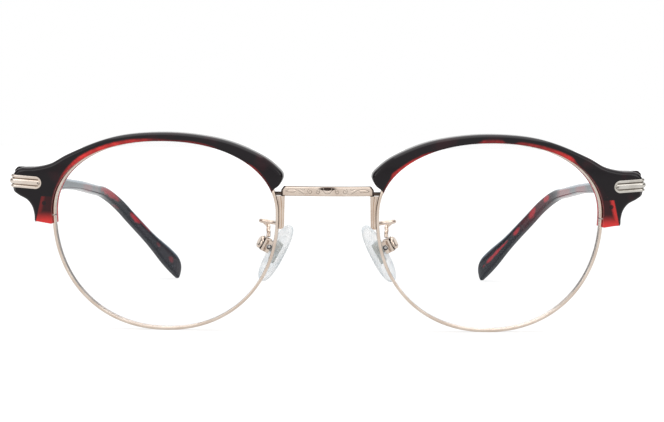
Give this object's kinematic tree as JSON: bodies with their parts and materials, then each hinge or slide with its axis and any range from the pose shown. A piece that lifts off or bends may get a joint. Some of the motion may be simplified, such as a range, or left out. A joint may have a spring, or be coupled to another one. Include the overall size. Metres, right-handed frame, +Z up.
{
  "type": "browline glasses",
  "caption": "Eyeglasses with thick dark plastic brows over thin metal rims, a metal bridge, sprung nose pads on wire arms and temples that fold.",
  "frame": {"origin": "middle of the footprint on the table, with the temples open", "axes": "+X to the wearer's left, -Y to the front, +Z up; the rims and both temple tips stand on Z = 0"},
  "size_m": [0.1404, 0.1429, 0.0437],
  "materials": {
    "brow_plastic": "polished, near black with translucent red in thin places",
    "temple_plastic": "polished, charcoal with translucent red patches",
    "gold_metal": "pale rose gold plating, satin",
    "trim_metal": "pale gold plating, polished",
    "steel": "bright",
    "lens": "clear, polished",
    "pad_silicone": "clear, smooth",
    "pad_core": "matt grey-green"
  },
  "bodies": {
    "front": {"bridge": "gold_metal", "left_rim": "gold_metal", "right_rim": "gold_metal", "left_lens": "lens", "right_lens": "lens", "left_brow": "brow_plastic", "right_brow": "brow_plastic", "left_end_trim": "trim_metal", "right_end_trim": "trim_metal", "left_nasal_plate": "gold_metal", "right_nasal_plate": "gold_metal", "left_pad_arm": "gold_metal", "right_pad_arm": "gold_metal", "left_pad_box": "gold_metal", "right_pad_box": "gold_metal", "left_pad_screw": "steel", "right_pad_screw": "steel", "left_upper_closing_block": "gold_metal", "right_upper_closing_block": "gold_metal", "left_lower_closing_block": "gold_metal", "right_lower_closing_block": "gold_metal", "left_closing_screw": "steel", "right_closing_screw": "steel", "left_brow_screw": "steel", "right_brow_screw": "steel", "left_front_hinge": "steel", "right_front_hinge": "steel", "left_front_rivets": "steel", "right_front_rivets": "steel", "left_hinge_screw": "steel", "right_hinge_screw": "steel"},
    "left_side": {"left_temple": "temple_plastic", "left_temple_hinge": "steel", "left_temple_rivets": "steel", "left_core_wire": "steel"},
    "right_side": {"right_temple": "temple_plastic", "right_temple_hinge": "steel", "right_temple_rivets": "steel", "right_core_wire": "steel"},
    "left_pad": {"left_nose_pad": "pad_silicone", "left_pad_insert": "pad_core"},
    "right_pad": {"right_nose_pad": "pad_silicone", "right_pad_insert": "pad_core"}
  },
  "joints": [
    {"name": "left_temple_fold", "type": "hinge", "parent": "front", "child": "left_side", "pos_m": [0.06407, -0.057, 0.03259], "axis": [0, 0.0586, 0.9983], "range_deg": [0, 84]},
    {"name": "right_temple_fold", "type": "hinge", "parent": "front", "child": "right_side", "pos_m": [-0.06407, -0.057, 0.03259], "axis": [0, -0.0586, -0.9983], "range_deg": [0, 71]},
    {"name": "left_pad_rock", "type": "hinge", "parent": "front", "child": "left_pad", "pos_m": [0.01325, -0.06277, 0.01874], "axis": [0.2716, 0.9373, 0.2183], "range_deg": [-6, 6]},
    {"name": "right_pad_rock", "type": "hinge", "parent": "front", "child": "right_pad", "pos_m": [-0.01325, -0.06277, 0.01874], "axis": [0.2716, -0.9373, -0.2183], "range_deg": [-6, 6]}
  ]
}
